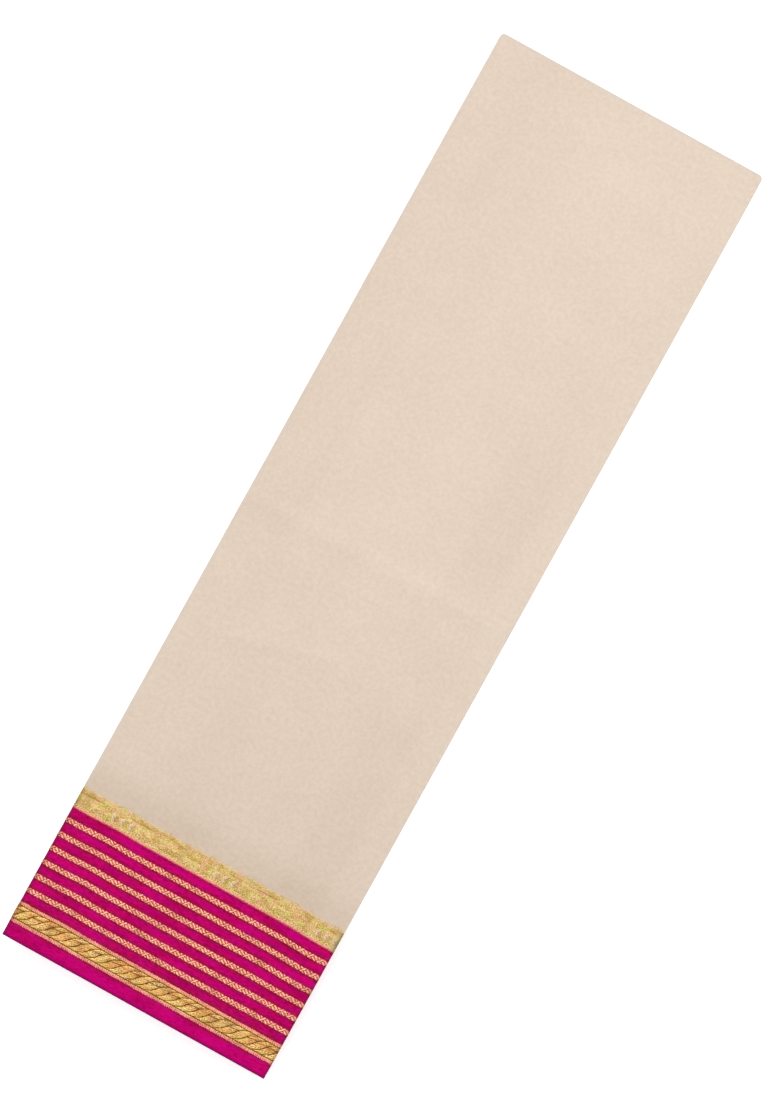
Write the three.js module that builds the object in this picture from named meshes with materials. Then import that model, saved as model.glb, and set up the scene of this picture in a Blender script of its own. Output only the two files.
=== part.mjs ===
// A Mysore crepe silk saree, folded in half across its width and then zigzagged along its length into one
// flat strip. Millimetres: X across the strip, +Y along it from the woven border to the folded plain end, and
// +Z up, with the origin under the strip's middle. A place along the strip is its distance from the selvedge.
import * as THREE from "three";

const { lerp, smoothstep } = THREE.MathUtils;

// ---- the cloth and how it is folded ----
const CLOTH_LENGTH = 5500;
const CLOTH_WIDTH = 1184; // selvedge to selvedge
const PANELS = 32; // zigzag panels along the length
const LEAVES = 2; // thicknesses of cloth in a panel, after the fold in half
const LEAF_PITCH = 0.285; // one thickness of crepe silk with the air above it
const SEAM = 0.3; // clear gap between neighbouring pieces

const STRIP_WIDTH = CLOTH_LENGTH / PANELS;
const STRIP_LENGTH = CLOTH_WIDTH / LEAVES;
const HALF = STRIP_WIDTH / 2;
const TIER = 2 * LEAVES * LEAF_PITCH; // two panels and the fold that joins them
const HIDDEN_TIERS = PANELS / 2 - 2; // all but the top and the lowest one
const NOSE = TIER / 2; // radius of the fold at a tier's left side
const NOSE_STEPS = 4;
const CORNER = 3; // radius, seen from above, of the two corners at the plain end

const HIDDEN_BASE = TIER + SEAM;
const TOP_BASE = HIDDEN_BASE + HIDDEN_TIERS * TIER + SEAM;

// ---- the woven border, from the selvedge inwards ----
const ROPE_FROM = 9.2;
const ROPE_WIDTH = 12.5;
const STRIPES = 6;
const FIRST_STRIPE = 27.9;
const STRIPE_WIDTH = 3.05;
const STRIPE_PITCH = 9.22;
const INNER_FROM = 83.2;
const BORDER = 95.8; // where the plain field begins
const ZARI_PROUD = 0.12; // the metal thread bands stand this much above the ground
// Where the bands lie bent: around x, over a reach to either side, towards the plain end by the shift, which
// grows from nothing at one distance from the selvedge to the whole at another.
const BENDS = {
  nearLeft: { x: -58, reach: 18, shift: 0.45, from: 0, whole: 24 },
  nearRight: { x: 77, reach: 26, shift: -0.8, from: 34, whole: 60 },
};

// ---- the soft forms of the top stretch ----
const SWELL = 0.9; // the middle of the stack stands this much above its pressed edges
const SWELL_SIDE = 45; // over this much of each side
const SWELL_END = 60; // and of each end
// Ridges and troughs of old folds, each straight from one place to another and soft over its reach.
const CREASES = {
  middleFold: { x1: -86, at1: 289, x2: 86, at2: 291.5, height: 0.3, reach: 8 },
  dipBelowIt: { x1: -86, at1: 277, x2: 86, at2: 279, height: -0.2, reach: 9 },
  slantingFold: { x1: -52, at1: 213, x2: 9, at2: 231, height: 0.25, reach: 6 },
  borderJoin: { x1: -86, at1: 101, x2: 86, at2: 101, height: -0.25, reach: 9 },
};
// The part of the top that lies over the turned-in end of the cloth stands a little higher.
const PLATEAU = { left: -43, right: 38, from: 219, to: 550, height: 0.3, shoulder: 9 };

// How far each hidden tier's folds stand back from the strip's outline, from the lowest tier up.
const FOLDS = [
  { left: 0.6, right: 1.1, plain: 0.9, border: 0.5 },
  { left: 1.5, right: 0.4, plain: 1.4, border: 1.2 },
  { left: 0.9, right: 1.3, plain: 0.5, border: 0.8 },
  { left: 0.3, right: 0.8, plain: 1.1, border: 1.6 },
  { left: 1.2, right: 1.7, plain: 1.8, border: 0.9 },
  { left: 1.8, right: 0.9, plain: 0.7, border: 0.4 },
  { left: 0.7, right: 0.5, plain: 1.2, border: 1.1 },
  { left: 1.1, right: 1.5, plain: 1.6, border: 1.7 },
  { left: 1.6, right: 1.0, plain: 0.8, border: 1.3 },
  { left: 0.5, right: 1.9, plain: 1.3, border: 0.6 },
  { left: 1.3, right: 1.2, plain: 0.6, border: 1.0 },
  { left: 0.8, right: 0.6, plain: 1.5, border: 1.4 },
  { left: 1.4, right: 0.7, plain: 1.0, border: 0.7 },
  { left: 0.6, right: 0.4, plain: 0.5, border: 0.5 },
];

const cloths = {
  cream: new THREE.MeshStandardMaterial({ color: 0xe4d1c0, roughness: 0.6, metalness: 0 }),
  magenta: new THREE.MeshStandardMaterial({ color: 0xba0466, roughness: 0.5, metalness: 0 }),
  zari: new THREE.MeshStandardMaterial({ color: 0xdf9176, roughness: 0.4, metalness: 0.5 }),
  rope: new THREE.MeshStandardMaterial({ color: 0xd0a05e, roughness: 0.4, metalness: 0.5 }),
  gold: new THREE.MeshStandardMaterial({ color: 0xd6b673, roughness: 0.4, metalness: 0.4 }),
};

// ---- the shape of the strip ----

// How far the cloth is shifted along the strip: a smooth bump across each bend, dying away up the field.
function shift(x, along) {
  let total = 0;
  for (const bend of Object.values(BENDS)) {
    const grown = smoothstep(along, bend.from, bend.whole);
    total += bend.shift * grown * (1 - smoothstep(Math.abs(x - bend.x), 0, bend.reach));
  }
  return total * (1 - smoothstep(along, BORDER, STRIP_LENGTH));
}

// A crease's share of its height at a place: a smooth bump over its reach, gone past its two ends.
function creaseShare({ x1, at1, x2, at2, reach }, x, along) {
  const run = new THREE.Vector2(x2 - x1, at2 - at1);
  const from = new THREE.Vector2(x - x1, along - at1);
  const share = THREE.MathUtils.clamp(from.dot(run) / run.lengthSq(), 0, 1);
  const distance = from.distanceTo(run.multiplyScalar(share));
  return 1 - smoothstep(distance, 0, reach);
}

// 1 between two places, falling smoothly to 0 outside them over a shoulder on either side.
function between(place, from, to, shoulder) {
  const begun = smoothstep(place, from - shoulder, from + shoulder);
  return begun * (1 - smoothstep(place, to - shoulder, to + shoulder));
}

// How much higher the top stands here than at the strip's pressed edges.
function rise(x, along) {
  const fromSide = HALF - Math.abs(x);
  const inField = smoothstep(along, BORDER, BORDER + SWELL_END);
  const fromEnds = inField * smoothstep(STRIP_LENGTH - along, 0, SWELL_END);
  const swell = fromEnds * smoothstep(fromSide, 0, SWELL_SIDE);
  const { left, right, from, to, height, shoulder } = PLATEAU;
  const plateau = between(x, left, right, shoulder) * between(along, from, to, shoulder);
  let creases = 0;
  for (const crease of Object.values(CREASES)) creases += crease.height * creaseShare(crease, x, along);
  return SWELL * swell + height * plateau + smoothstep(fromSide, 0, TIER) * creases;
}

// The rounded plain end: how far the sides stand in, and the share of the thickness left.
function plainEnd(along) {
  const left = STRIP_LENGTH - along;
  const inset = left < CORNER ? CORNER - Math.sqrt(CORNER ** 2 - (CORNER - left) ** 2) : 0;
  const depth = left < NOSE ? Math.sqrt(1 - (1 - left / NOSE) ** 2) : 1;
  return { inset, depth };
}

// Places from one distance to another in even steps, with the edges and the middle of each crease put in.
function stations(from, to, step, marks) {
  const count = Math.ceil((to - from) / step);
  const even = Array.from({ length: count + 1 }, (_, i) => lerp(from, to, i / count));
  const inside = marks.filter((mark) => mark > from && mark < to);
  const clear = even.filter((place) => !inside.some((mark) => Math.abs(mark - place) < step / 5));
  return [...new Set([from, ...clear, ...inside, to])].sort((a, b) => a - b);
}

// A section across a stretch: round the fold on the left, along the upper face, down the cut edge on the
// right and back along the lower face. across gives the places on the faces as shares of the width.
function section(along, base, across, height) {
  const end = plainEnd(along);
  const radius = NOSE * end.depth;
  const middle = base + NOSE;
  const left = -HALF + end.inset;
  const right = HALF - end.inset;
  const point = (x, z) => new THREE.Vector3(x, along + shift(x, along) - STRIP_LENGTH / 2, z);
  const ring = [];
  for (let i = 0; i < NOSE_STEPS; i++) {
    const turn = Math.PI * (i / NOSE_STEPS - 0.5);
    ring.push(point(left + radius * (1 - Math.cos(turn)), middle + radius * Math.sin(turn)));
  }
  const places = across.map((share) => lerp(left + radius, right, share));
  for (const x of places) ring.push(point(x, middle + radius + height(x, along) * end.depth));
  for (const x of places.slice(1).reverse()) ring.push(point(x, middle - radius));
  return ring;
}

// ---- closed meshes from rings ----

// The triangles that close a section: a fan in the round fold, then a ladder between the two faces, so that
// the end follows the bends of the bands.
function sectionCap(ring, columns) {
  const cap = [];
  for (let i = 1; i < NOSE_STEPS; i++) cap.push([0, i, i + 1]);
  const upper = (column) => NOSE_STEPS + column;
  const lower = (column) => (ring.length - column) % ring.length;
  for (let i = 0; i < columns - 1; i++)
    cap.push([lower(i), upper(i), upper(i + 1)], [lower(i), upper(i + 1), lower(i + 1)]);
  return cap;
}

// The triangles that close a level.
function levelCap(ring) {
  return THREE.ShapeUtils.triangulateShape(ring.map(({ x, y }) => new THREE.Vector2(x, y)), []);
}

// One closed body through rings with the same number of points. The cap's triangles go round as the ring
// does, so they face the way the rings run, and are turned over to close the first ring.
function bodyThrough(rings, cap) {
  const count = rings[0].length;
  const last = (rings.length - 1) * count;
  const faces = [
    ...cap.map(([a, b, c]) => [a, c, b]),
    ...cap.map((corners) => corners.map((corner) => last + corner)),
  ];
  for (let first = 0; first < last; first += count) {
    for (let i = 0; i < count; i++) {
      const a = first + i;
      const b = first + ((i + 1) % count);
      faces.push([a, b, b + count], [a, b + count, a + count]);
    }
  }
  const geometry = new THREE.BufferGeometry().setFromPoints(rings.flat());
  geometry.setIndex(faces.flat());
  geometry.computeVertexNormals();
  return geometry;
}

// ---- the pieces ----

const saree = new THREE.Group();

function addPiece(name, geometry, cloth) {
  const piece = new THREE.Mesh(geometry, cloths[cloth]);
  piece.name = name;
  saree.add(piece);
}

// A stretch of the top from one distance to another, half a seam short of each neighbour.
function addTopStretch({ name, from, to, cloth, proud }, places, across) {
  const begin = from > 0 ? from + SEAM / 2 : 0;
  const finish = to < STRIP_LENGTH ? to - SEAM / 2 : STRIP_LENGTH;
  const height = (x, at) => rise(x, at) + proud;
  const rings = places(begin, finish).map((at) => section(at, TOP_BASE, across, height));
  addPiece(name, bodyThrough(rings, sectionCap(rings[0], across.length)), cloth);
}

// The border's bands in order, each up to the start of the next.
function borderBands() {
  const bands = [
    { name: "top_selvedge", from: 0, cloth: "magenta", proud: 0 },
    { name: "top_rope_band", from: ROPE_FROM, cloth: "rope", proud: ZARI_PROUD },
    { name: "top_ground_1", from: ROPE_FROM + ROPE_WIDTH, cloth: "magenta", proud: 0 },
  ];
  for (let i = 0; i < STRIPES; i++) {
    const from = FIRST_STRIPE + i * STRIPE_PITCH;
    bands.push(
      { name: `top_zari_stripe_${i + 1}`, from, cloth: "zari", proud: ZARI_PROUD },
      { name: `top_ground_${i + 2}`, from: from + STRIPE_WIDTH, cloth: "magenta", proud: 0 },
    );
  }
  bands.push({ name: "top_inner_band", from: INNER_FROM, cloth: "gold", proud: ZARI_PROUD });
  return bands.map((band, i) => ({ ...band, to: bands[i + 1]?.from ?? BORDER }));
}

const shareAt = (x) => (x + HALF) / STRIP_WIDTH;
const bendMarks = Object.values(BENDS).flatMap(({ x, reach }) =>
  [-1, -0.5, 0, 0.5, 1].map((share) => shareAt(x + share * reach)),
);
const borderAcross = stations(0, 1, 0.1, bendMarks);
for (const band of borderBands()) addTopStretch(band, (from, to) => [from, to], borderAcross);

// The field has rows and columns on the edges and middles of its creases, and rounds off at the plain end.
const END_STEPS = [CORNER, CORNER / 2, CORNER / 4, NOSE / 2, NOSE / 6, NOSE / 24]; // distances from that end
const withShoulders = (places, reach) => places.flatMap((place) => [place - reach, place, place + reach]);
const sideMarks = withShoulders([PLATEAU.left, PLATEAU.right], PLATEAU.shoulder);
const rowMarks = withShoulders([PLATEAU.from, PLATEAU.to], PLATEAU.shoulder);
for (const { at1, at2, reach } of Object.values(CREASES))
  rowMarks.push(...withShoulders([(at1 + at2) / 2], reach));
const fieldAcross = stations(0, 1, 0.1, [0.02, 0.98, ...sideMarks.map(shareAt), ...bendMarks]);
const fieldRows = (from, to) => [
  ...stations(from, to - CORNER, 28, rowMarks).slice(0, -1),
  ...END_STEPS.map((left) => to - left),
];
const field = { name: "top_field", from: BORDER, to: STRIP_LENGTH, cloth: "cream", proud: 0 };
addTopStretch(field, fieldRows, fieldAcross);

// The lowest stretch is flat above and below.
function addUnderStretch(name, places, cloth) {
  const across = [0, 0.5, 1];
  const rings = places.map((at) => section(at, 0, across, () => 0));
  addPiece(name, bodyThrough(rings, sectionCap(rings[0], across.length)), cloth);
}
addUnderStretch("under_border", [0, BORDER - SEAM / 2], "magenta");
addUnderStretch("under_field", [BORDER + SEAM / 2, ...END_STEPS.map((left) => STRIP_LENGTH - left)], "cream");

// ---- the hidden layers ----

const LEVELS = 4; // rings in a tier
const WANDER = 0.25; // how far a fold's line strays to either side of straight
const WANDER_LENGTH = 47; // and over what length it does so, for one radian of its wave
const SIDE_STEPS = 4;
const CORNER_STEPS = 3;
const borderEnd = -STRIP_LENGTH / 2;
const join = borderEnd + BORDER;

// How far a level stands in from the outline: a round fold to each tier on the left, the folds between tiers
// on the right, and two thinner folds or raw edges to a tier at the ends. A groove lies between folds.
function insets(level) {
  const fold = FOLDS[Math.min(Math.floor(level / LEVELS), HIDDEN_TIERS - 1)];
  const turn = (level % LEVELS) / LEVELS;
  const groove = (phase, radius) => radius * (1 - Math.sqrt(1 - (2 * (phase % 1) - 1) ** 2));
  return {
    left: fold.left + groove(turn, NOSE),
    right: fold.right + groove(turn + 0.5, NOSE),
    plain: fold.plain + groove(2 * turn, NOSE / 2),
    border: fold.border + groove(2 * turn, NOSE / 2),
  };
}

// Where a level's two sides lie at y. The line of a fold isn't quite straight, and each strays its own way.
function sides(y, level) {
  const { left, right } = insets(level);
  const tier = Math.floor(level / LEVELS);
  const stray = (phase) => WANDER * (1 + Math.sin(y / WANDER_LENGTH + phase * tier));
  return { left: left + stray(1.7) - HALF, right: HALF - right - stray(2.3) };
}

function levelPoint(x, y, level) {
  return new THREE.Vector3(x, y, HIDDEN_BASE + (level * TIER) / LEVELS);
}

const steps = (from, to, count) => Array.from({ length: count + 1 }, (_, i) => lerp(from, to, i / count));

// A level of the field, anticlockwise from the join on the right, round the two corners of the plain end.
function fieldLevel(level) {
  const shoulder = STRIP_LENGTH / 2 - insets(level).plain - CORNER;
  const rows = steps(join + SEAM / 2, shoulder, SIDE_STEPS);
  const ends = sides(shoulder, level);
  const corner = (x, turn) =>
    levelPoint(x + CORNER * Math.cos(turn), shoulder + CORNER * Math.sin(turn), level);
  const quarter = steps(0, Math.PI / 2, CORNER_STEPS);
  return [
    ...rows.map((y) => levelPoint(sides(y, level).right, y, level)),
    ...quarter.slice(1).map((turn) => corner(ends.right - CORNER, turn)),
    ...quarter.slice(0, -1).map((turn) => corner(ends.left + CORNER, Math.PI / 2 + turn)),
    ...rows.reverse().map((y) => levelPoint(sides(y, level).left, y, level)),
  ];
}

// A level of the border, anticlockwise from the join on the left. Its corners are square.
function borderLevel(level) {
  const end = borderEnd + insets(level).border;
  const rows = [join - SEAM / 2, end];
  return [
    ...rows.map((y) => levelPoint(sides(y, level).left, y, level)),
    levelPoint(0, end, level),
    ...rows.reverse().map((y) => levelPoint(sides(y, level).right, y, level)),
  ];
}

function addLayers(name, levelRing, cloth) {
  const rings = Array.from({ length: HIDDEN_TIERS * LEVELS + 1 }, (_, level) => levelRing(level));
  addPiece(name, bodyThrough(rings, levelCap(rings[0])), cloth);
}
addLayers("layers_field", fieldLevel, "cream");
addLayers("layers_border", borderLevel, "magenta");

export default saree;
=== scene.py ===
"""A Mysore crepe silk saree, folded in half across its width and zigzagged along its length into a flat strip.

The whole saree is one surface of two numbers: how far along the saree a point of the cloth lies, and how far
from its selvedge. `fold` says where that point lies in the folded strip. Every piece is a stretch of that
surface, as a thin closed shell, and every pattern is worked out from the same two numbers.
"""
import math
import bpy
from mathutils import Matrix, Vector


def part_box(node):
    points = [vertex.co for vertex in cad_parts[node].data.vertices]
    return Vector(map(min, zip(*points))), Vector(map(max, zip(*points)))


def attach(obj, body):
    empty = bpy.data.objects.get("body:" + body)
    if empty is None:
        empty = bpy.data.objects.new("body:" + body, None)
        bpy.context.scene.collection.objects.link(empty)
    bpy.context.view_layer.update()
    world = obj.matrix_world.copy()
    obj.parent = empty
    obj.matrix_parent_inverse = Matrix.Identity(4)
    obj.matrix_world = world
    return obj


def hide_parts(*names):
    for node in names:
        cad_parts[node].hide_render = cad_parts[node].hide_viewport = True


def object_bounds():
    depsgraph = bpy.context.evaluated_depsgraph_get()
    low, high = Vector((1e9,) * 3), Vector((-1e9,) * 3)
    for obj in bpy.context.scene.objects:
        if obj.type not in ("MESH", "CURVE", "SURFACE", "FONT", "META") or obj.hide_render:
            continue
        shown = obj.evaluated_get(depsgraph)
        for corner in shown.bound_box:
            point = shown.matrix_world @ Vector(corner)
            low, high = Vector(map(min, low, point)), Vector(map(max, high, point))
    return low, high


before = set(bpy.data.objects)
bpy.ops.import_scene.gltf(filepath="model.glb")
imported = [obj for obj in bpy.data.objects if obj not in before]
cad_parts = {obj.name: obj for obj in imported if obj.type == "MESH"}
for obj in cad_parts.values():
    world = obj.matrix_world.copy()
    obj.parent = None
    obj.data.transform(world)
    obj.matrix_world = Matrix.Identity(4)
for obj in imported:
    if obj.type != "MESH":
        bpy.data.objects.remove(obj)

from types import SimpleNamespace

import bpy
import numpy as np
from mathutils import Euler

cad_low, cad_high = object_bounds()
MM = 0.001

# ---- the cloth and how it is folded, in millimetres ----
HALF = cad_high.x / MM  # half the strip's width
WIDTH = 2 * HALF
SELVEDGE = cad_low.y / MM  # y of the selvedge
LENGTH = (cad_high.y - cad_low.y) / MM  # the strip's length, which is half the cloth's width
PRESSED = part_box("top_selvedge")[1].z / MM  # height of the strip at its pressed edges
PANELS = 32  # zigzag panels along the saree, even ones running to the left and odd ones to the right
LEAF = PRESSED / (2 * PANELS)  # one thickness of silk with the air above it
SILK = 0.2  # the silk itself
FOLD_RADIUS = LEAF / 2  # of the fold across the width, to the silk's middle
CORNER = 3  # radius of the plain end's corners, seen from above
TUCK = 6  # how far a top or under stretch runs on, hidden, past its folds
TUCK_SHARE = TUCK / WIDTH

# How far each hidden pair of panels stands back from the strip's outline on each side, from the lowest pair up.
FOLDS = dict(
    left=[0.6, 1.5, 0.9, 0.3, 1.2, 1.8, 0.7, 1.1, 1.6, 0.5, 1.3, 0.8, 1.4, 0.6],
    right=[1.1, 0.4, 1.3, 0.8, 1.7, 0.9, 0.5, 1.5, 1.0, 1.9, 1.2, 0.6, 0.7, 0.4],
    plain=[0.9, 1.4, 0.5, 1.1, 1.8, 0.7, 1.2, 1.6, 0.8, 1.3, 0.6, 1.5, 1.0, 0.5],
    border=[0.5, 1.2, 0.8, 1.6, 0.9, 0.4, 1.1, 1.7, 1.3, 0.6, 1.0, 1.4, 0.7, 0.5],
)
OUTER = 0.4  # and the lowest pair, but for its right side
STAGGER = dict(plain=0.2, border=0.25)  # and every second panel below the top pair, further still

# ---- the woven border: distances from the selvedge ----
STRIPES = 6
ROPE = 9.2
ROPE_END = 21.7
FIRST_STRIPE = 27.9
STRIPE_WIDTH = 3.05
STRIPE_PITCH = 9.22
STRIPE_STARTS = [FIRST_STRIPE + i * STRIPE_PITCH for i in range(STRIPES)]
STRIPES_END = STRIPE_STARTS[-1] + STRIPE_WIDTH
INNER = 83.2
BORDER = 95.8
LOW_LINE = 2.0  # the coral and gold line along the rope band's selvedge side
HIGH_LINE = 1.55  # and along its other side
DARK_LINE = 0.6  # and the dark one inside each
ROPE_LOW = ROPE + LOW_LINE + DARK_LINE
ROPE_HIGH = ROPE_END - HIGH_LINE - DARK_LINE
EDGING_FROM, EDGING_TO = ROPE + 0.1, ROPE_END + 0.2  # where the coral and gold threads themselves lie
EDGING_PITCH = 1.45  # of their slanting strokes
HATCH_PITCH = 1.15  # of the fine lines on the strands
ROPE_PITCH = 6.4  # from strand to strand
ROPE_RUN = 12.0  # how far along the band a strand runs while it crosses
ROPE_LEAN = 0.27  # how much of that is even, of 0.5: the rest comes at the strand's two ends
INNER_LINE = 1.1  # the coral line where the inner band begins
INNER_FADE = 13.4  # where the gold of the inner band gives out, unevenly
CURLS = 3  # to a group
CURL_PITCH = 5.6
CURL_GROUP = 67.0  # from group to group
CURL_FROM = 56.0
BEAD_PITCH = 1.3  # of the coral line's beads
LATTICE_PITCH = 6.4  # one bar and one leaf of a zari stripe
BAR_SLOPE = 0.95
UNDER_SLOPE = 0.7  # of the thread that falls under the bar
LEAF_LONG = 1.44  # half the leaf's length
LEAF_HIGH = 1.1  # and half its height
LEAF_SLOPE = 1.3
RISE = dict(rope_band=0.10, inner_band=0.06, stripe=0.12, strand=0.14)  # of the metal thread off the silk
SHOULDER = 0.25  # how softly it rises

# ---- the soft forms of the top, in the strip's own x and distance from the selvedge ----
SWELL = 0.9  # height of the cushion of air
SWELL_SIDE = 45  # how far in from a side it grows
SWELL_END = 60  # and from the border and the plain end
CREASES = [
    dict(name="middle fold", x1=-86, at1=289, x2=86, at2=291.5, height=0.3, reach=8),
    dict(name="dip below it", x1=-86, at1=277, x2=86, at2=279, height=-0.2, reach=9),
    dict(name="slanting fold", x1=-52, at1=213, x2=9, at2=231, height=0.25, reach=6),
    dict(name="border join", x1=-86, at1=101, x2=86, at2=101, height=-0.25, reach=9),
]
PLATEAU = dict(left=-43, right=38, start=219, end=550, height=0.3, shoulder=9)
# Where the bands lie bent, round x and over a reach to either side, growing between two distances from the selvedge.
BENDS = [
    dict(name="near left", x=-58, reach=18, shift=0.45, start=0, whole=24),
    dict(name="near right", x=77, reach=26, shift=-0.8, start=34, whole=60),
]


def smooth(value, low, high):
    """0 below low, 1 above high, and a smooth S between them."""
    share = np.clip((value - low) / (high - low), 0, 1)
    return share * share * (3 - 2 * share)


def between(value, low, high, shoulder):
    """1 between two places, with a smooth fall to 0 over a shoulder on either side."""
    return smooth(value, low - shoulder, low + shoulder) * (1 - smooth(value, high - shoulder, high + shoulder))


def shift(x, along):
    """How far the cloth is shifted along the strip: a smooth bump across each bend, dying away up the field."""
    total = np.zeros(np.broadcast(x, along).shape)
    for bend in BENDS:
        grown = smooth(along, bend["start"], bend["whole"])
        total = total + bend["shift"] * grown * (1 - smooth(np.abs(x - bend["x"]), 0, bend["reach"]))
    return total * (1 - smooth(along, BORDER, LENGTH))


def swell(x, along):
    """The broad forms: a cushion of air in the middle, and the plateau over the turned-in end of the cloth."""
    side = smooth(HALF - np.abs(x), 0, SWELL_SIDE)
    ends = smooth(along, BORDER, BORDER + SWELL_END) * smooth(LENGTH - along, 0, SWELL_END)
    wide = between(x, PLATEAU["left"], PLATEAU["right"], PLATEAU["shoulder"])
    long = between(along, PLATEAU["start"], PLATEAU["end"], PLATEAU["shoulder"])
    return SWELL * side * ends + PLATEAU["height"] * wide * long


def creases(x, along):
    """The sum of the creases: each a smooth bump across its straight line, over its reach."""
    total = np.zeros(np.broadcast(x, along).shape)
    for crease in CREASES:
        run_x, run_along = crease["x2"] - crease["x1"], crease["at2"] - crease["at1"]
        from_x, from_along = x - crease["x1"], along - crease["at1"]
        share = np.clip((from_x * run_x + from_along * run_along) / (run_x**2 + run_along**2), 0, 1)
        distance = np.hypot(from_x - share * run_x, from_along - share * run_along)
        total = total + crease["height"] * (1 - smooth(distance, 0, crease["reach"]))
    return total * smooth(HALF - np.abs(x), 0, 4 * LEAF)


# ---- folding ----


def set_back(side, count, first, last):
    """One side's column of FOLDS for each panel or fold: the two pairs outside the table are `first` and `last`."""
    column = [first, *FOLDS[side], last]
    return np.repeat(column, 2)[:count] if count > len(column) else np.array(column[:count])


PANEL_NUMBERS = np.arange(PANELS)
STAGGERED = (PANEL_NUMBERS % 2) * (PANEL_NUMBERS < PANELS - 2)
PANEL_PLAIN = set_back("plain", PANELS, OUTER, 0) + STAGGER["plain"] * STAGGERED
PANEL_BORDER = set_back("border", PANELS, OUTER, 0) + STAGGER["border"] * STAGGERED
FOLD_BACK = np.zeros(PANELS)  # of the fold after each panel
FOLD_BACK[0::2] = set_back("left", PANELS // 2, OUTER, 0)
FOLD_BACK[1:-1:2] = set_back("right", PANELS // 2, 0, 0)[1:]
WEIGHTS = 1 + 0.07 * np.sin(2.1 * PANEL_NUMBERS + 0.4)  # some panels lie a little thicker than others
EDGES = np.concatenate([[0], np.cumsum(WEIGHTS)]) * PRESSED / WEIGHTS.sum()
PANEL_HEIGHT = (EDGES[1:] + EDGES[:-1]) / 2  # the middle of each panel
REACH = LEAF + FOLD_RADIUS + SILK / 2  # from the centre of a side fold to its outermost silk
LAST = PANELS - 1
STRAY, STRAY_TOP = 0.22, 0.06  # how far a side fold's line wanders, and the top ones' lines
BACK_LEAF = 0.3  # how much further back a back leaf's selvedge lies than its front one's
BACK_FROM = 1  # the angle round the fold, in radians, past which the back leaf begins
SWELL_POWER, CREASE_POWER = 1.5, 12  # how fast they die away below the top, as powers of the height's share


def stray(fold, y):
    """A fold's line isn't quite straight: each wanders a little in its own way, the top one least."""
    size = np.where(fold >= LAST - 1, STRAY_TOP, STRAY)
    return size * (1 + 0.7 * np.sin(y / 47 + 1.7 * fold) + 0.3 * np.sin(y / 13 + 2.9 * fold))


def path(straight, turns):
    """Stations along the folded saree, from its lower cut end to its upper one.

    Each panel has the places in `straight`, as shares of its width, and then the angles in `turns` of the fold
    that leads to the next. Returns panel, share and angle of each station, with no angle on a straight one.
    """
    straight, turns = np.asarray(straight, float), np.asarray(turns, float)
    each = len(straight) + len(turns)
    panel = np.repeat(PANEL_NUMBERS, each)[: -len(turns)]
    share = np.tile(np.concatenate([straight, np.ones(len(turns))]), PANELS)[: -len(turns)]
    angle = np.tile(np.concatenate([np.full(len(straight), np.nan), turns]), PANELS)[: -len(turns)]
    return panel, share, angle


def across_stations(front, back, turns):
    """Stations across the cloth: down the front leaf to the fold, round it, and back up the back leaf.

    `front` and `back` are distances from the selvedge. Returns distance from the selvedge, distance from the
    start of the fold's bend, and the angle round it: 0 on the front leaf and pi on the back one.
    """
    bend = FOLD_RADIUS * math.pi / 2
    selvedge = np.concatenate([front, LENGTH - np.abs(FOLD_RADIUS * (math.pi / 2 - np.asarray(turns))), back])
    angle = np.concatenate([np.zeros(len(front)), turns, np.full(len(back), math.pi)])
    away = np.clip(LENGTH - bend - selvedge, 0, None)
    away[len(front) : len(front) + len(turns)] = 0
    return selvedge, away, angle


def fold(stations, across, lift):
    """Where points of the cloth lie once the saree is folded.

    A point lies `lift` off its leaf's middle surface. The leaf lies a fold radius off the panel's middle, which
    runs straight across the strip at its own height and round a half circle at each side. Then the corners
    of the plain end are rounded, the bands bent, and the stack swells and creases towards its top.
    """
    panel, share, angle = (np.asarray(a)[:, None] for a in stations)
    _, away, bend = (np.asarray(a)[None, :] for a in across)
    turning = ~np.isnan(angle)
    turn = np.where(turning, angle, 0)
    ahead = np.minimum(panel + 1, LAST)
    done = turn / math.pi
    plain = PANEL_PLAIN[panel] * (1 - done) + PANEL_PLAIN[ahead] * done
    border = PANEL_BORDER[panel] * (1 - done) + PANEL_BORDER[ahead] * done
    border = border + BACK_LEAF * (bend > BACK_FROM) * (panel < LAST)
    start = SELVEDGE + LENGTH - plain - SILK / 2 - FOLD_RADIUS
    shrink = (start - SELVEDGE - border) / (LENGTH - FOLD_RADIUS * math.pi / 2)
    off = (FOLD_RADIUS + lift) * np.cos(bend)
    y = start + (FOLD_RADIUS + lift) * np.sin(bend) - away * shrink

    left_fold = np.where(panel % 2 == 0, panel, panel - 1)
    right_fold = np.where(panel % 2 == 1, panel, panel - 1)
    left = FOLD_BACK[left_fold] + stray(left_fold, y) + REACH - HALF
    cut_end = (right_fold < 0) | (right_fold >= LAST)
    right = np.where(cut_end, HALF, HALF - FOLD_BACK[np.clip(right_fold, 0, LAST)] - stray(right_fold, y) - REACH)
    leftward = panel % 2 == 0
    straight_x = np.where(leftward, right + (left - right) * share, left + (right - left) * share)
    centre = np.where(leftward, left, right)
    way = np.where(leftward, -1, 1)
    radius = (PANEL_HEIGHT[ahead] - PANEL_HEIGHT[panel]) / 2
    x = np.where(turning, centre + way * radius * np.sin(turn) - off * np.sin(turn), straight_x)
    height = np.where(turning, PANEL_HEIGHT[panel] + radius * (1 - np.cos(turn)), PANEL_HEIGHT[panel])
    z = height + way * np.cos(turn) * off
    lowest, highest = PANEL_HEIGHT[0] - FOLD_RADIUS - SILK / 2, PANEL_HEIGHT[-1] + FOLD_RADIUS + SILK / 2
    z = (z - lowest) * PRESSED / (highest - lowest)
    return settle(x, y, z)


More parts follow.
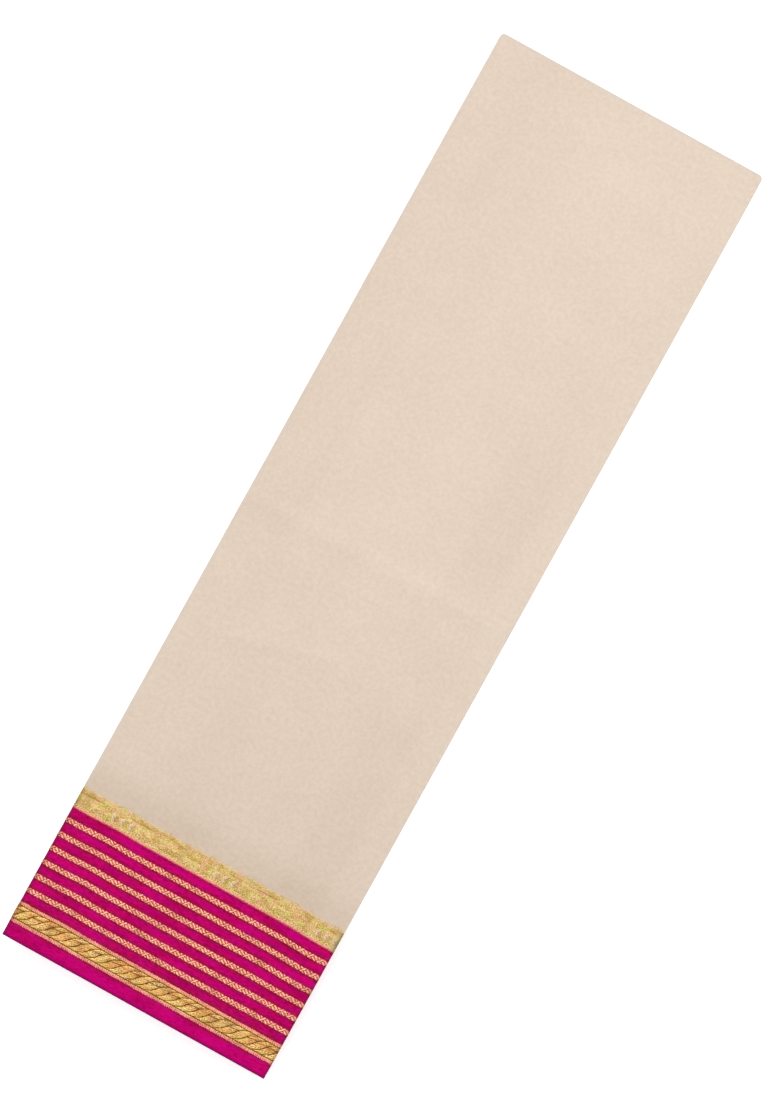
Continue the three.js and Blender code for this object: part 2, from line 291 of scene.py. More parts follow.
def settle(x, y, z):
    """The folded cloth's small departures from flat and square: round corners, bent bands, swell and creases."""
    over_x = np.clip((np.abs(x) - HALF + CORNER) / CORNER, 0, 1)
    over_y = np.clip((y - SELVEDGE - LENGTH + CORNER) / CORNER, 0, 1)
    x = x - np.sign(x) * CORNER * over_x * (1 - np.sqrt(1 - over_y**2 / 2))
    y = y - CORNER * over_y * (1 - np.sqrt(1 - over_x**2 / 2))
    along = y - SELVEDGE
    depth = np.clip(z / PRESSED, 0, None)
    z = z + swell(x, along) * depth**SWELL_POWER + creases(x, along) * depth**CREASE_POWER
    return np.stack([x, y + shift(x, along), z], axis=-1)


# ---- thin closed shells ----

RIM_SHARE = 0.004  # width of a rim in the bake's map
OUTER_SHARE = 0.62  # the outer face's share of that map's width
CELLS = 0.25, 6  # least and greatest length that a cell of the grid counts for in it
TURN_WEIGHT = 2.0  # and how much more of it a fold gets for its length


def shell(name, stations, across, raised=0.0, keep=None):
    """A stretch of the cloth as a closed shell: its two faces, silk apart, and a rim round every open edge.

    `raised` lifts the outer face by the depth of its woven relief, and `keep` says which squares of the grid the
    stretch has. Two maps are written: "cloth", in metres along the saree and from the selvedge, and the bake's own.
    """
    outer = fold(stations, across, SILK / 2 + raised)
    inner = fold(stations, across, -SILK / 2)
    rows, columns = outer.shape[:2]
    keep = np.ones((rows - 1, columns - 1), bool) if keep is None else keep
    number = np.arange(rows * columns).reshape(rows, columns)
    a, b, c, d = number[:-1, :-1], number[:-1, 1:], number[1:, 1:], number[1:, :-1]
    inward = rows * columns
    padded = np.pad(keep, 1)
    sides = [
        (a, d, padded[1:-1, :-2], (0, -1)),
        (d, c, padded[2:, 1:-1], (1, 0)),
        (c, b, padded[1:-1, 2:], (0, 1)),
        (b, a, padded[:-2, 1:-1], (-1, 0)),
    ]
    faces = [np.stack([a[keep], d[keep], c[keep], b[keep]], 1)]
    faces.append(inward + np.stack([a[keep], b[keep], c[keep], d[keep]], 1))
    pushes = [np.zeros((len(faces[0]) * 2, 4, 2))]
    for first, second, neighbour, way in sides:
        open_edge = keep & ~neighbour
        p, q = first[open_edge], second[open_edge]
        faces.append(np.stack([q, p, inward + p, inward + q], 1))
        push = np.zeros((len(p), 4, 2))
        push[:, 2:] = way
        pushes.append(push)
    faces, pushes = np.concatenate(faces), np.concatenate(pushes)
    cloth, bake = shell_maps(stations, across)
    corners = faces.ravel()
    rim = np.arange(len(faces)) >= 2 * keep.sum()
    on_outer = np.repeat(rim, 4) & (corners >= inward)
    bake_at = np.where(on_outer, corners - inward, corners)
    bake_uv = bake[bake_at] + RIM_SHARE * pushes.reshape(-1, 2)
    used, corners = np.unique(corners, return_inverse=True)
    points = np.concatenate([outer.reshape(-1, 3), inner.reshape(-1, 3)])[used] * MM
    mesh = bpy.data.meshes.new(name)
    mesh.vertices.add(len(points))
    mesh.vertices.foreach_set("co", points.astype(np.float32).ravel())
    mesh.loops.add(len(corners))
    mesh.loops.foreach_set("vertex_index", corners.astype(np.int32))
    mesh.polygons.add(len(faces))
    mesh.polygons.foreach_set("loop_start", np.arange(0, len(corners), 4, dtype=np.int32))
    mesh.update(calc_edges=True)
    mesh.polygons.foreach_set("use_smooth", ~rim)
    for label, uv in (("cloth", cloth[faces.ravel()]), ("OFBake", bake_uv)):
        mesh.uv_layers.new(name=label).data.foreach_set("uv", uv.astype(np.float32).ravel())
    mesh.uv_layers["cloth"].active_render = True
    piece = bpy.data.objects.new(name, mesh)
    bpy.context.scene.collection.objects.link(piece)
    middle = np.tile(across[0], rows * 2)[faces].mean(1)
    return piece, middle < BORDER


def along_of(stations):
    """Millimetres along the saree of each station: whole panels, its share of its own, and its way round a fold."""
    panel, share, angle = stations
    return panel * WIDTH + share * (WIDTH - math.pi * LEAF) + np.nan_to_num(angle) * LEAF


def shell_maps(stations, across):
    """The cloth's own map and the bake's, for the outer and then the inner grid points."""
    along, (from_selvedge, _, bend) = along_of(stations), across
    cloth = np.stack(np.broadcast_arrays(along[:, None], from_selvedge[None, :]), -1).reshape(-1, 2) * MM
    weight = np.where(np.isnan(stations[2]), 1.0, TURN_WEIGHT)
    row_place = even_places(weight * np.clip(np.abs(np.gradient(along)), *CELLS))
    step = np.abs(np.gradient(np.where(bend > BACK_FROM, 2 * LENGTH - from_selvedge, from_selvedge)))
    column_place = even_places(np.clip(step, *CELLS))
    row_place, column_place = np.broadcast_arrays(row_place[:, None], column_place[None, :])
    margin = 4 * RIM_SHARE
    column = margin + (1 - 2 * margin) * column_place
    outer = np.stack([margin + (OUTER_SHARE - 2 * margin) * row_place, column], -1)
    inner = np.stack([OUTER_SHARE + margin + (1 - OUTER_SHARE - 2 * margin) * row_place, column], -1)
    return np.tile(cloth, (2, 1)), np.concatenate([outer.reshape(-1, 2), inner.reshape(-1, 2)])


def even_places(lengths):
    """Places from 0 to 1 along a line, spaced as the lengths between stations say."""
    total = np.concatenate([[0], np.cumsum((lengths[1:] + lengths[:-1]) / 2)])
    return total / total[-1]


# ---- woven relief of the top's border, which the patterns below repeat in colour ----


def strand_phase(along, across):
    """0 to 1 from one strand's edge to the next. Across the band, w from -1 to 1, an edge runs as a w + b w cubed."""
    w = np.clip((across - ROPE_LOW) / (ROPE_HIGH - ROPE_LOW), 0, 1) * 2 - 1
    lean = ROPE_RUN * (0.5 + ROPE_LEAN * w + (0.5 - ROPE_LEAN) * w**3)
    return np.mod((along - lean) / ROPE_PITCH, 1)


def border_relief(along, across):
    """How far the metal thread stands up: each band over soft shoulders, and the rope strand by strand."""
    relief = RISE["rope_band"] * between(across, ROPE, ROPE_END, SHOULDER)
    relief = relief + RISE["inner_band"] * between(across, INNER, BORDER - 1, 0.6)
    for start in STRIPE_STARTS:
        relief = relief + RISE["stripe"] * between(across, start, start + STRIPE_WIDTH, SHOULDER)
    in_rope = between(across, ROPE_LOW, ROPE_HIGH, 0.4)
    strand = np.sin(math.pi * strand_phase(along, across)) ** 0.6
    return relief + RISE["strand"] * in_rope * strand


# ---- shader sums and node groups ----


class Value:
    """A number or vector that varies over the cloth, held as a shader socket. Sums on it add nodes beside it."""

    def __init__(self, socket):
        self.socket = socket
        self.nodes = socket.id_data.nodes

    def maths(self, operation, *others):
        return Value(add(self.nodes, "Math", enumerate((self, *others)), operation=operation).outputs[0])

    def __add__(self, other):
        return self.maths("ADD", other)

    def __sub__(self, other):
        return self.maths("SUBTRACT", other)

    def __mul__(self, other):
        return self.maths("MULTIPLY", other)

    def __truediv__(self, other):
        return self.maths("DIVIDE", other)

    def rest(self):
        """1 minus it."""
        return self * -1.0 + 1.0

    def size(self):
        """It without its sign."""
        return self.maths("ABSOLUTE")

    def larger(self, other):
        """The larger of it and another."""
        return self.maths("MAXIMUM", other)

    def at_most(self, other):
        """The smaller of it and another."""
        return self.maths("MINIMUM", other)

    def wrap(self, period):
        """What is left of it above the last whole period."""
        return self.maths("FLOORED_MODULO", period)

    def from_middle(self, period):
        """How far it is from the middle of the period that it is in."""
        return (self.wrap(period) - period / 2).size()

    def ramp(self, low, high, start=0.0, end=1.0):
        """A smooth S from start at low to end at high, held at both ends."""
        limits = enumerate((self, low, high, start, end))
        return Value(add(self.nodes, "MapRange", limits, interpolation_type="SMOOTHSTEP").outputs[0])

    def fade(self, low, high):
        """A smooth S from 1 at low down to 0 at high."""
        return self.ramp(low, high, 1.0, 0.0)

    def inside(self, low, high, soft):
        """1 from low to high, over soft shoulders."""
        return self.ramp(low - soft, low + soft) * self.fade(high - soft, high + soft)

    def near(self, place, reach):
        """1 at a place, falling to 0 a reach away from it."""
        return (self - place).size().fade(0.0, reach)


def put(place, value):
    """Links a value or a socket to an input, or sets the input to a number, colour or vector."""
    if isinstance(value, Value):
        value = value.socket
    if isinstance(value, bpy.types.NodeSocket):
        place.id_data.links.new(value, place)
    else:
        place.default_value = value


def fill(node, values):
    """Puts values into a node's inputs, each by the input's label or number."""
    for label, value in dict(values).items():
        put(node.inputs[label], value)


def add(nodes, kind, values=(), **settings):
    """A new shader node of a kind, with its settings, and with its inputs filled."""
    made = nodes.new("ShaderNode" + kind)
    for name, setting in settings.items():
        setattr(made, name, setting)
    fill(made, values)
    return made


def point(along, across, third=0.0):
    """A vector from two values and a third."""
    return Value(add(along.nodes, "CombineXYZ", enumerate((along, across, third))).outputs[0])


def noise(place, scale=1.0, detail=1.0, roughness=0.5, distortion=0.0):
    """Blender's noise over a place, about 0 to 1 and mostly near a half."""
    values = dict(Vector=place, Scale=scale, Detail=detail, Roughness=roughness, Distortion=distortion)
    return Value(add(place.nodes, "TexNoise", values).outputs[0])


def patches(along, across, long, high, seed=0.0, detail=1.0, roughness=0.5):
    """Noise in patches so many millimetres long and high. Each seed gives its own."""
    return noise(point(along / long, across / high, seed), 1.0, detail, roughness)


def mix(share, first, second):
    """first where share is 0, second where it is 1."""
    return add(share.nodes, "Mix", {0: share, 6: first, 7: second}, data_type="RGBA").outputs[2]


def coats(colour, *layers):
    """A colour with others laid over it in turn, each by its own share."""
    for share, over in layers:
        colour = mix(share, colour, over)
    return colour


def build_group(name, inputs, outputs, recipe):
    """A shader node group. inputs gives each number's default, outputs each output's kind, and recipe the sums."""
    tree = bpy.data.node_groups.new(name, "ShaderNodeTree")
    for label, default in inputs.items():
        tree.interface.new_socket(label, in_out="INPUT", socket_type="NodeSocketFloat").default_value = default
    for label, kind in outputs.items():
        tree.interface.new_socket(label, in_out="OUTPUT", socket_type=kind)
    entry = tree.nodes.new("NodeGroupInput")
    leave = tree.nodes.new("NodeGroupOutput")
    made = recipe(*(Value(entry.outputs[label]) for label in inputs))
    fill(leave, zip(outputs, made))
    return tree


def use(group, along, across, **others):
    """Places a group with its own values, and returns its outputs in order."""
    made = add(along.nodes, "Group", dict(Along=along, Across=across, **others), node_tree=group)
    return [Value(socket) for socket in made.outputs]


LIGHT = 1.25  # how much brighter than its dye a cloth shows in this light


def dye(red, green, blue):
    """The dye that shows as a colour of 0 to 255 on a screen, in this scene's light. A glint goes a little past 255.

    A screen value c gives light as ((c + 0.055) / 1.055) to the power 2.4, or as c / 12.92 where it is very small.
    """
    linear = [((c / 255 + 0.055) / 1.055) ** 2.4 if c > 10 else c / 255 / 12.92 for c in (red, green, blue)]
    return (*(c / LIGHT for c in linear), 1.0)


NUMBER, COLOUR = "NodeSocketFloat", "NodeSocketColor"
PLACE = {"Along": 0.0, "Across": 0.0}


def crepe_grain(along, across, size):
    """Crepe: hard-twisted weft puckers the silk into small uneven grains. Size is one grain's, in millimetres."""
    place = point(along / size, across / size)
    pucker = noise(place, 0.6, 3.0, 0.6, 0.3)
    twist = noise(place, 2.4)
    return pucker * 0.7 + twist * 0.3, pucker.ramp(0.32, 0.68) * 0.75 + twist.ramp(0.3, 0.7) * 0.25


def ring(place_x, place_y, x, y, radius):
    """Distance from a ring drawn round x, y."""
    from_x, from_y = place_x - x, place_y - y
    return ((from_x * from_x + from_y * from_y).maths("SQRT") - radius).size()


def zari_lattice(along, across):
    """A narrow stripe's repeat: a bar that rises over a falling thread, then a four-sided leaf round an eye.

    With v from the stripe's middle, the bar runs as u = BAR_SLOPE v and the thread under it as u = -UNDER_SLOPE v.
    The leaf is |u| / LEAF_LONG + |v| / LEAF_HIGH = 1, and its two bold falling sides are u + LEAF_SLOPE v = plus or
    minus LEAF_LONG. Gives how much of the metal thread shows, and the leaf's eye.
    """
    sway = patches(along, across, 1.1, 1.1, 2.0) - 0.5
    drift = patches(along, across, 0.9, 0.9, 12.0) - 0.5
    swayed = along + sway * 0.9
    half = LATTICE_PITCH / 2
    u = swayed.wrap(LATTICE_PITCH) - half
    leaf_u = (swayed + half).wrap(LATTICE_PITCH) - half
    v = across - STRIPE_WIDTH / 2 + drift * 0.7
    bar = (u - v * BAR_SLOPE).size().fade(0.32, 0.6)
    under = (u + v * UNDER_SLOPE).size().fade(0.36, 0.66) * v.size().ramp(0.6, 0.95)
    leaf = (leaf_u.size() / LEAF_LONG + v.size() / LEAF_HIGH - 1.0).size().fade(0.1, 0.35)
    slant = leaf_u + v * LEAF_SLOPE
    sides = (slant.size() - LEAF_LONG).size().fade(0.4, 0.76) * (v * slant).ramp(-0.6, -0.1)
    sides *= (leaf_u * slant).ramp(-1.1, -0.5)
    eye = (leaf_u * leaf_u + v * v).maths("SQRT").fade(0.2, 0.75)
    return bar.larger(under * 0.95).larger(leaf * 0.4).larger(sides), eye


def rope_strands(along, across):
    """The rope: each strand's edge runs as a w + b w cubed, every second strand has a leaf's edge, and fine hatching.

    Gives the dark lines, the hatching, the strand's rise from its edge to its middle, and its number.
    """
    share = (across / (ROPE_HIGH - ROPE_LOW)).at_most(1.0).larger(0.0)
    w = share * 2.0 - 1.0
    lean = (w * ROPE_LEAN + w * w * w * (0.5 - ROPE_LEAN) + 0.5) * ROPE_RUN
    place = (along - lean) / ROPE_PITCH
    phase = place.wrap(1.0)
    edge = phase.at_most(phase.rest())
    second = (place.wrap(2.0) - 1.0).ramp(-0.02, 0.02)
    leaf = (share - 0.66 - (phase - 0.5) * 0.12).size().fade(0.03, 0.07) * (second * 0.65 + 0.35)
    hatch = ((across - along * 0.3) / HATCH_PITCH).from_middle(1.0).fade(0.12, 0.4)
    return edge.fade(0.04, 0.095).larger(leaf * 0.8), hatch, edge.ramp(0.05, 0.4), place.maths("FLOOR")


def curls(along, across):
    """Groups of curls: each the back of a ring, with a hook above it and a tail below. Gives them and their shade."""
    group = (along - CURL_FROM).wrap(CURL_GROUP)
    u = group.wrap(CURL_PITCH)
    back = ring(u, across, 3.0, 6.2, 1.5).fade(0.24, 0.56) * (u - 2.7).fade(-0.2, 0.5)
    hook = (u - 2.5 - (across - 6.4) * 0.55).size().fade(0.2, 0.48) * across.inside(6.2, 8.6, 0.3)
    tail = (u - 1.8 + (across - 4.4) * 0.5).size().fade(0.2, 0.48) * across.inside(3.4, 5.2, 0.3)
    shade = ring(u, across, 3.4, 6.0, 0.9).fade(0.4, 1.7)
    return back.larger(hook * 0.8).larger(tail * 0.8), shade, group.inside(0.0, CURL_PITCH * CURLS, 0.3)


def inner_gold(along, across):
    """The inner band: patchy gold over a coral edge, with a row of strokes, a row of curls and broken lines.

    Gives the colour, how much of it covers the silk, which falls off softly towards the field, and the curls.
    """
    threads = patches(along, across, 0.9, 0.6).ramp(0.34, 0.66)
    patch = patches(along, across, 6.5, 3.2, 0.0, 3.0, 0.55)
    other = patches(along, across, 5.5, 2.8, 9.0, 3.0, 0.55)
    slow = noise(point(along / 15.0, 3.0))
    broken = noise(point(along / 16.0, 7.0))
    worked = across.ramp(3.0, 7.0, 1.0, 0.6)
    stroke = ((along + patch * 3.0 - across * 0.8) / 1.6).wrap(1.0)
    stroke_row = across.inside(1.3, 3.0, 0.25) * other.ramp(0.44, 0.54)
    curl, curl_shade, in_group = curls(along, across)
    shown = in_group * threads.ramp(0.0, 0.6, 0.5, 1.0)
    lines = across.near(10.4, 0.5) * broken.ramp(0.5, 0.56) + across.near(3.5, 0.4) * broken.ramp(0.46, 0.4)
    dull_rows = across.near(4.1, 1.7) * 0.2 + across.inside(9.9, 12.8, 0.8) * 0.16
    gold = coats(
        mix(patch.ramp(0.4, 0.58), dye(200, 162, 80), dye(238, 210, 136)),
        (other.ramp(0.5, 0.6) * 0.85, dye(234, 174, 134)),  # rosy patches
        (other.fade(0.36, 0.46) * 0.75, dye(202, 192, 86)),  # green ones
        (threads.ramp(0.4, 0.0) * worked * 0.75, dye(154, 106, 42)),  # between the threads
        (threads.ramp(0.6, 1.0) * worked * 0.85, dye(255, 238, 170)),  # glints on them
        (slow.fade(0.36, 0.46) * 0.4, dye(188, 160, 96)),
        (stroke.near(0.3, 0.24) * stroke_row * 0.8, dye(255, 230, 150)),
        (stroke.near(0.78, 0.2) * stroke_row * 0.7, dye(140, 94, 30)),
        (curl_shade * shown * 0.5, dye(160, 132, 62)),
        (curl * shown * 0.9, dye(244, 218, 200)),
        (lines * 0.75, dye(146, 108, 44)),
        (dull_rows, dye(150, 118, 56)),
    )
    beads = (along / BEAD_PITCH).from_middle(1.0).fade(0.1, 0.45)
    coral = mix(beads * 0.3 + threads * 0.7, dye(148, 12, 54), dye(238, 120, 120))
    coral = mix(across.ramp(0.1, 0.7, 0.5, 0.0), coral, dye(120, 20, 50))
    colour = mix(across.ramp(INNER_LINE - 0.7, INNER_LINE + 0.2), coral, gold)
    colour = mix(across.near(1.3, 1.3) * (threads * 0.7 + 0.15), colour, dye(266, 162, 158))
    uneven = (patch - 0.5) * 2.4 + (threads - 0.5) * 0.6
    return colour, (across + uneven).fade(INNER_FADE - 1.6, INNER_FADE + 1.9), curl * shown


CREPE = build_group("crepe grain", {**PLACE, "Size": 1.0}, {"Height": NUMBER, "Shade": NUMBER}, crepe_grain)
LATTICE = build_group("zari lattice", PLACE, {"Thread": NUMBER, "Eye": NUMBER}, zari_lattice)
ROPE_OUTPUTS = {"Line": NUMBER, "Hatch": NUMBER, "Crown": NUMBER, "Strand": NUMBER}
ROPE_TWIST = build_group("rope twist", PLACE, ROPE_OUTPUTS, rope_strands)
INNER_GOLD = build_group("inner gold", PLACE, {"Colour": COLOUR, "Cover": NUMBER, "Curl": NUMBER}, inner_gold)


# ---- materials ----


def start_material(name, roughness, specular, sheen, sheen_tint):
    """A material with its shader, and the two cloth distances in millimetres."""
    made = bpy.data.materials.new(name)
    made.use_nodes = True
    nodes = made.node_tree.nodes
    shader = nodes["Principled BSDF"]
    fill(shader, {"Roughness": roughness, "Specular IOR Level": specular})
    fill(shader, {"Sheen Weight": sheen, "Sheen Roughness": 0.4, "Sheen Tint": sheen_tint})
    split = add(nodes, "SeparateXYZ", {0: add(nodes, "UVMap", uv_map="cloth").outputs[0]})
    along, across = (Value(split.outputs[i]) * (1 / MM) for i in (0, 1))
    return made, shader, along, across


def bump(shader, height, distance):
    """Height, of 1 for `distance` in millimetres, as small relief."""
    made = add(height.nodes, "Bump", dict(Height=height, Distance=distance * MM, Strength=1.0))
    put(shader.inputs["Normal"], made.outputs[0])


def field_silk():
    """The plain cream crepe, with painted shade between the folds beneath it and towards the border, over patches of
    tone at random.
    """
    made, shader, along, across = start_material("cream crepe silk", 0.6, 0.2, 0.06, (1, 0.95, 0.9, 1))
    grain, shade = use(CREPE, along, across, Size=1.5)
    x = along.from_middle(2 * WIDTH)  # from the strip's left fold
    # Painted shade: darker towards the border join and between the folds beneath, over two noises that are patches of
    # tone at random.
    dull_and_shade = (patches(along, across, 34.0, 34.0, 0.0, 2.0) - 0.5) * 0.3 + 0.34
    dull_and_shade += x.ramp(26, 46, 0.15, 0.0) * across.ramp(150, 330)
    for low, high, more in ((280, 296, 0.05), (205, 226, 0.06), (BORDER + 30, 200, 0.07), (BORDER, BORDER + 30, 0.4)):
        dull_and_shade += across.ramp(low, high, more, 0.0)
    dull_and_shade += x.inside(124, 152, 5) * (across.inside(312, 392, 12) * 0.1 + across.ramp(195, 245, 0.09, 0.0))
    dull_and_shade -= x.ramp(152, 160) * across.ramp(380, 400, 0.06, 0.0)
    dull_and_shade += x.inside(32, 66, 14) * across.ramp(340, 550, 0.04, 0.14)
    dull_and_shade -= x.inside(75, 125, 14) * across.inside(282, 302, 8) * 0.1
    dull_and_shade -= x.inside(112, 160, 14) * across.inside(490, 562, 16) * 0.07
    dull_and_shade += (patches(along, across, 5.0, 5.0, 4.0, 2.0, 0.6) - 0.5) * 0.24
    pale = mix(shade, dye(226.5, 208.5, 192.5), dye(235.5, 217.5, 201.5))
    # The darker cream, for the darker patches of tone and for the painted shade.
    deep_and_shaded = mix(shade, dye(202.5, 182.5, 162.5), dye(211.5, 191.5, 171.5))
    # Painted shade along the top's edges, both sides and the plain end, where the cloth turns down.
    fold_edge_shade = x.near(0.9, 1.0) + x.near(WIDTH - 0.9, 1.0) + across.near(LENGTH - 0.9, 1.0)
    gold, cover, _ = use(INNER_GOLD, along, across - INNER)
    colour = coats(
        mix(dull_and_shade, pale, deep_and_shaded),
        (fold_edge_shade.at_most(1.0) * 0.4, dye(204, 202, 198)),
        (cover, gold),
    )
    put(shader.inputs["Base Color"], colour)
    bump(shader, grain, 0.02)
    return made


def border_unevenness(along, across):
    """What differs from thread to thread and place to place, all as noise but `ragged`, which is in millimetres."""
    return SimpleNamespace(
        deeper=patches(along, across, 2.8, 1.0, 5.0, 2.0, 0.6),
        threads=patches(along, across, 0.9, 0.6).ramp(0.36, 0.64),
        # Dark gaps between the threads; on the stripes the same noise also places painted glints.
        gaps_and_glints=patches(along, across, 0.62, 0.7, 14.0),
        # Patches where the metal thread is darker, and where a painted glint brightens it.
        dark_and_glint_patches=patches(along, across, 9.0, 5.0, 25.0, 2.0),
        ragged=(patches(along, across, 0.8, 0.8, 9.0) - 0.5) * 1.2,
    )


def magenta_ground(along, across, offset, in_stripes, shade, uneven):
    """The magenta silk: mottled, with a painted highlight midway between stripes and painted shade and shadow beside
    every metal thread.

    `offset` is how far across lies past the start of its stripe.
    """
    redder = patches(along, across, 11.0, 4.0, 0.0, 3.0, 0.6).ramp(0.36, 0.64)
    hue = patches(along, across, 2.6, 1.2, 17.0).ramp(0.36, 0.64)
    broad = patches(along, across, 20.0, 7.0, 21.0, 2.0)
    lively = across.ramp(ROPE, ROPE_END, 0.45, 0.75)
    midway = (across - FIRST_STRIPE - STRIPE_WIDTH / 2 - 0.1).from_middle(STRIPE_PITCH)
    grounds = across.inside(ROPE_END, INNER, 0.1)
    # Painted highlight midway between the stripes, weaker between the rope band and the first stripe.
    midway_highlight = midway.ramp(0.2, 1.9, 0.45, 0.0) * across.ramp(FIRST_STRIPE - 1.0, FIRST_STRIPE + 1.0, 0.5, 1.0)
    # Painted shade beside the stripes and along both edges of the rope band, fading out before the inner band.
    beside_shade = midway.ramp(1.4, 2.9) * grounds * across.fade(INNER - 2.4, INNER - 1.2)
    beside_shade += offset.inside(STRIPE_WIDTH, STRIPE_WIDTH + 1.1, 0.5) * in_stripes * 0.4
    beside_shade += across.near(ROPE + 0.1, 2.4) + across.near(ROPE_END + 0.8, 3.2) * 0.4
    ragged = across + uneven.ragged
    # Painted shadow at the edges of each stripe, of the rope band and of the inner band, ragged like the threads.
    rim_shadow = offset.inside(-0.7, 0.2, 0.15) * in_stripes
    rim_shadow += offset.inside(STRIPE_WIDTH, STRIPE_WIDTH + 0.7, 0.15) * in_stripes
    rim_shadow += ragged.near(ROPE - 0.2, 0.6) + ragged.near(ROPE_END + 0.6, 0.7)
    rim_shadow += across.near(INNER - 0.3, 0.7)
    # Painted shade along the selvedge, strongest just inside its edge.
    selvedge = across.ramp(0.6, 2.4, 0.9, 0.0) * across.ramp(0.05, 0.4, 0.25, 1.0)
    leaf = noise(point((along / WIDTH).maths("FLOOR") * 0.73, along / 60.0, 30.0))
    return coats(
        mix(redder * 0.55 + hue * 0.45, dye(180, 10, 56), dye(164, 2, 108)),
        (across.ramp(ROPE - 2, ROPE, 0.5, 0.0), dye(204, 0, 122)),  # the strip by the selvedge
        (uneven.deeper.fade(0.36, 0.48) * lively, dye(100, 0, 36)),
        (uneven.deeper.ramp(0.54, 0.66) * lively, dye(234, 6, 124)),
        (shade * 0.34, dye(200, 2, 100)),
        (midway_highlight * grounds, dye(202, 0, 114)),
        (beside_shade.at_most(1.0) * 0.67, dye(132, 30, 30)),
        (broad.ramp(0.5, 0.34) * 0.36, dye(148, 0, 60)),
        (broad.ramp(0.5, 0.66) * 0.22, dye(224, 0, 140)),
        (rim_shadow.at_most(1.0) * uneven.deeper.ramp(0.62, 0.42) * 0.4, dye(112, 0, 26)),
        # Painted shade along the selvedge.
        (selvedge, dye(132, 10, 84)),
        (leaf.ramp(0.4, 0.6) * across.ramp(0.05, 0.3, 0.6, 0.0), dye(96, 0, 52)),  # each leaf's edge its own
    )


def stripe_zari(along, across, offset, uneven):
    """A latticed stripe: bright metal thread over coral, warmer along its middle, with painted highlights and glints
    on the thread. Also gives its relief.
    """
    light, eye = use(LATTICE, along, offset - uneven.ragged)
    warm = patches(along, across, 5.0, 3.0, 0.0, 2.0, 0.6).ramp(0.4, 0.6)
    hued = patches(along, across, 1.7, 1.5, 27.0)
    to_rim = (offset - STRIPE_WIDTH / 2).size().ramp(0.4, 1.3)
    under = mix(to_rim, dye(160, 48, 12), dye(202, 36, 60))
    under = mix(eye * 0.7, under, dye(232, 118, 68))
    thread = coats(
        mix(to_rim * 0.7 + warm * 0.3, dye(274, 188, 124), dye(274, 164, 158)),
        # Painted highlights on the metal thread.
        (uneven.threads * 0.85, dye(280, 242, 216)),
        (hued.ramp(0.5, 0.64) * 0.5, dye(268, 216, 108)),  # some thread yellower
        (hued.ramp(0.5, 0.36) * 0.45, dye(270, 140, 168)),  # some pinker
        # Painted glint in patches.
        (uneven.dark_and_glint_patches.ramp(0.5, 0.66) * 0.5, dye(281, 230, 188)),
    )
    colour = coats(
        mix(light, under, thread),
        # Dark gaps between the threads, then painted glints on them.
        (uneven.gaps_and_glints.ramp(0.46, 0.33) * 0.45, dye(156, 52, 34)),
        (uneven.gaps_and_glints.ramp(0.5, 0.63) * 0.55, dye(276, 198, 178)),
    )
    return colour, light - eye * 0.5


def rope_edging(along, across, uneven):
    """The lines along the rope band, of short slanting strokes: coral at the band's edge and gold within."""
    half = (EDGING_TO - EDGING_FROM) / 2
    to_edge = (across - (EDGING_FROM + EDGING_TO) / 2).size()
    slanting = ((along + across * 1.3 + uneven.ragged) / EDGING_PITCH).from_middle(1.0)
    strokes = (slanting.fade(0.14, 0.4) + uneven.threads).ramp(0.3, 1.3)
    coral = mix(strokes, dye(172, 22, 70), dye(270, 167, 162))
    golden = mix(strokes, dye(160, 80, 40), dye(268, 200, 144))
    return coats(
        mix(to_edge.ramp(half - 1.6, half - 0.3), golden, coral),
        (across.near(EDGING_TO - 0.5, 1.1) * 0.3, dye(250, 192, 132)),
        (uneven.gaps_and_glints.ramp(0.46, 0.32) * 0.5, dye(160, 30, 60)),
        # Painted glint in patches.
        (uneven.dark_and_glint_patches.ramp(0.5, 0.66) * 0.32, dye(272, 200, 170)),
    )


def rope_gold(along, across, uneven):
    """The rope's gold, each strand with its own painted highlight along its crown and painted glints, within its dark
    outline. Also gives its relief.
    """
    line, hatch, crown, strand = use(ROPE_TWIST, along, across - ROPE_LOW)
    turn = noise(point(strand * 0.73, along / 9.0, 4.0)).ramp(0.38, 0.6)
    lit = noise(point(strand * 0.57, across / 5.0, 8.0)).ramp(0.35, 0.65)
    green = patches(along, across, 7.0, 2.0, 6.0).ramp(0.5, 0.62)
    kept = patches(along, across, 2.4, 1.0, 11.0).ramp(0.36, 0.56, 0.6, 1.0)
    gold = coats(
        mix(turn, dye(246, 164, 68), dye(254, 154, 76)),
        # Painted highlight along each strand's crown.
        (crown * (lit * 0.4 + 0.15), dye(246, 208, 124)),
        (uneven.gaps_and_glints.ramp(0.46, 0.34) * 0.5, dye(164, 88, 34)),
        (hatch * 0.7, dye(154, 80, 24)),
        # Painted glints on the threads.
        (uneven.threads.ramp(0.4, 0.95) * (lit * 0.5 + 0.5), dye(255, 246, 168)),
        (green * crown.rest() * 0.8, dye(168, 158, 40)),
        # Painted glint in patches.
        (uneven.dark_and_glint_patches.ramp(0.5, 0.66) * 0.32, dye(266, 216, 128)),
        (line * kept, dye(70, 34, 4)),
    )
    field = across.inside(ROPE_LOW, ROPE_HIGH, 0.15)
    outline = mix(uneven.threads, dye(78, 44, 8), dye(150, 100, 44))
    return mix(field, outline, gold), field * (crown * 0.7 - line - hatch * 0.3)


